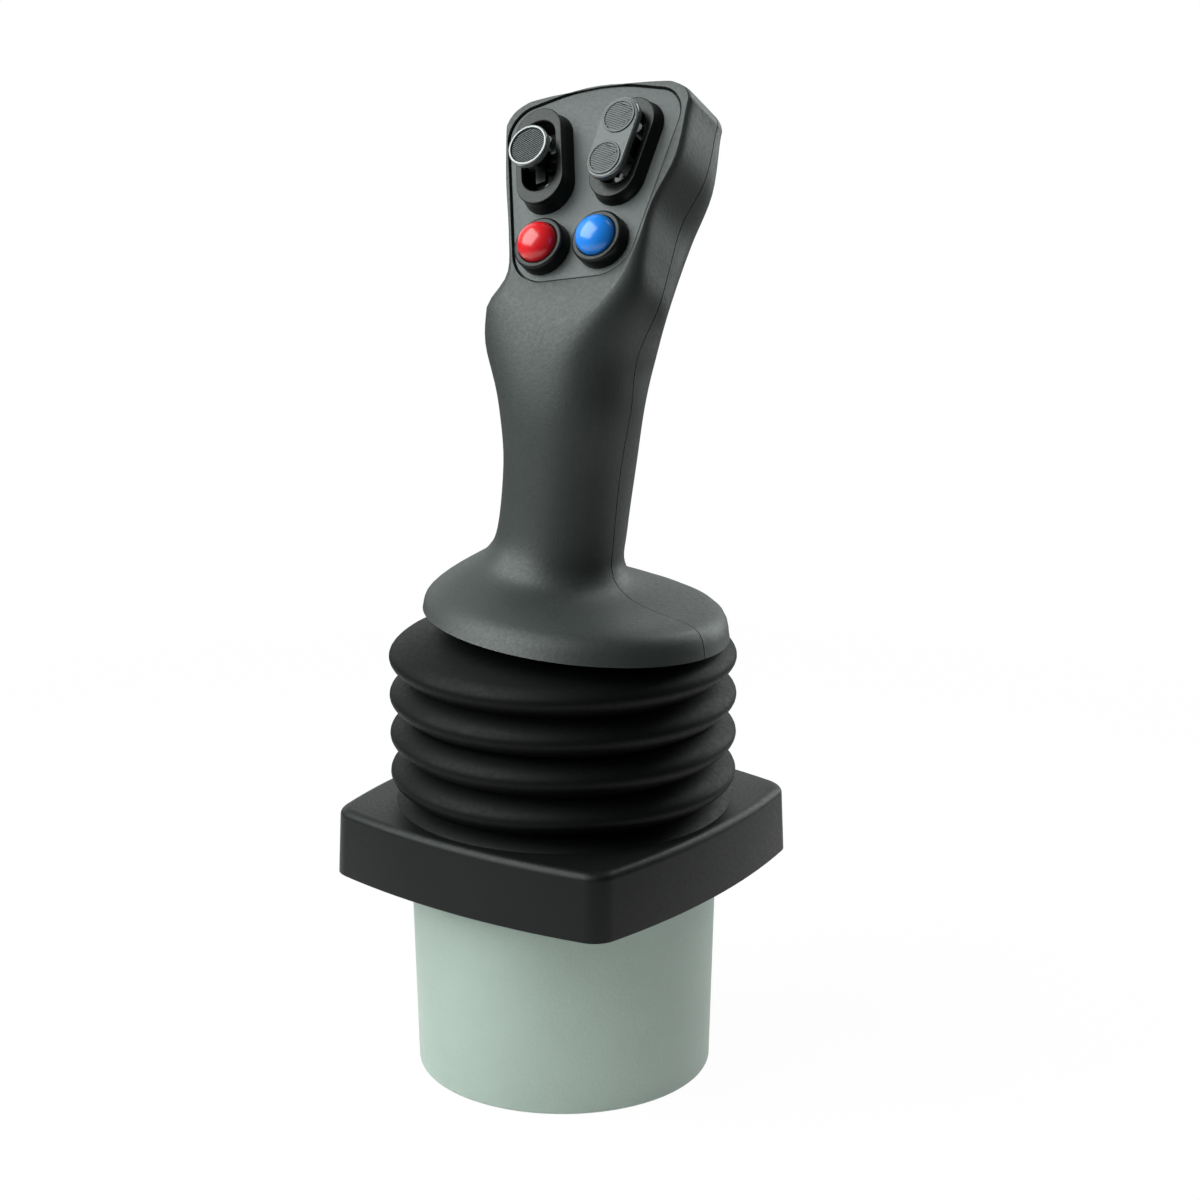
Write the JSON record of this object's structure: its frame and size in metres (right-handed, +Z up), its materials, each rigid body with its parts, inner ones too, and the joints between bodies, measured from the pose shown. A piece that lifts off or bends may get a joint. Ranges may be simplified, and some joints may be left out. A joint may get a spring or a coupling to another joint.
{
  "type": "industrial joystick",
  "caption": "Panel-mount joystick with a rubber bellows, a round housing below the panel and a tilted grip head with thumb controls and domed buttons.",
  "frame": {"origin": "on the housing's axis, in the plane of the panel's top face, where the flange rests on the panel", "axes": "+Z up along the housing's axis, -Y towards the operator, +X to the operator's right"},
  "size_m": [0.1112, 0.1114, 0.3005],
  "materials": {
    "cast_aluminium": "blasted die-cast aluminium, matte",
    "machined_aluminium": "machined aluminium",
    "steel": "bright steel",
    "black_rubber": "satin black rubber",
    "brass": "turned brass",
    "red_gloss": "glossy red plastic",
    "blue_gloss": "glossy blue plastic",
    "black_plastic": "satin black plastic",
    "grey_plastic": "fine-grained dark grey plastic",
    "light_plastic": "light grey plastic",
    "circuit_board": "green solder mask"
  },
  "bodies": {
    "base": {"housing_can": "cast_aluminium", "can_seal": "black_rubber", "can_screws": "steel", "mounting_flange": "machined_aluminium", "frame_screws": "steel", "bezel_cover": "black_plastic", "bellows": "black_rubber", "bellows_clamp": "steel", "gimbal_frame": "machined_aluminium", "pitch_bushes": "brass", "pitch_spring": "steel", "pitch_sensor": "circuit_board", "gate_plate": "machined_aluminium", "control_board": "circuit_board", "board_spacers": "brass", "connector_shell": "machined_aluminium", "connector_insert": "black_plastic", "connector_pins": "brass", "connector_nut": "steel"},
    "gimbal": {"gimbal_ring": "machined_aluminium", "pitch_pins": "steel", "pitch_magnet": "steel", "roll_bushes": "brass", "roll_spring": "steel", "roll_sensor": "circuit_board"},
    "grip": {"pivot_block": "machined_aluminium", "roll_pins": "steel", "roll_magnet": "steel", "lever_shaft": "steel", "shaft_nut": "steel", "bellows_collar": "black_plastic", "grip_clamp": "machined_aluminium", "clamp_screw": "steel", "grip_front_shell": "grey_plastic", "grip_rear_shell": "grey_plastic", "grip_screws": "steel", "face_plate": "grey_plastic", "left_bezel": "black_plastic", "right_bezel": "black_plastic", "red_bezel": "black_plastic", "blue_bezel": "black_plastic", "left_switch": "black_plastic", "right_switch": "black_plastic", "left_plungers": "light_plastic", "right_plungers": "light_plastic", "red_switch": "black_plastic", "blue_switch": "black_plastic", "grip_board": "circuit_board"},
    "thumb": {"thumb_lever": "grey_plastic", "thumb_pin": "steel"},
    "rocker": {"rocker_cap": "grey_plastic", "rocker_pin": "steel"},
    "red_cap": {"red_button": "red_gloss"},
    "blue_cap": {"blue_button": "blue_gloss"}
  },
  "joints": [
    {"name": "pitch", "type": "hinge", "parent": "base", "child": "gimbal", "pos_m": [0, 0, -0.014], "axis": [1, 0, 0], "range_deg": [-20, 20], "stiffness_Nm_per_rad": 4, "deforming": ["bellows"]},
    {"name": "roll", "type": "hinge", "parent": "gimbal", "child": "grip", "pos_m": [0, 0, -0.014], "axis": [0, 1, 0], "range_deg": [-20, 20], "stiffness_Nm_per_rad": 4, "deforming": ["bellows"]},
    {"name": "thumb_tilt", "type": "hinge", "parent": "grip", "child": "thumb", "pos_m": [-0.01751, 0.01631, 0.21124], "axis": [0.9135, 0.2215, 0.3411], "range_deg": [-14, 14], "stiffness_Nm_per_rad": 0.02},
    {"name": "rocker_tilt", "type": "hinge", "parent": "grip", "child": "rocker", "pos_m": [0.00949, 0.0191, 0.21627], "axis": [1, 0, 0], "range_deg": [-9, 9], "stiffness_Nm_per_rad": 0.02},
    {"name": "red_press", "type": "slide", "parent": "grip", "child": "red_cap", "axis": [0, 0.8387, -0.5446], "range_m": [0, 0.0025], "stiffness_N_per_m": 400, "springref_m": -0.0005},
    {"name": "blue_press", "type": "slide", "parent": "grip", "child": "blue_cap", "axis": [0, 0.8387, -0.5446], "range_m": [0, 0.0025], "stiffness_N_per_m": 400, "springref_m": -0.0005}
  ]
}
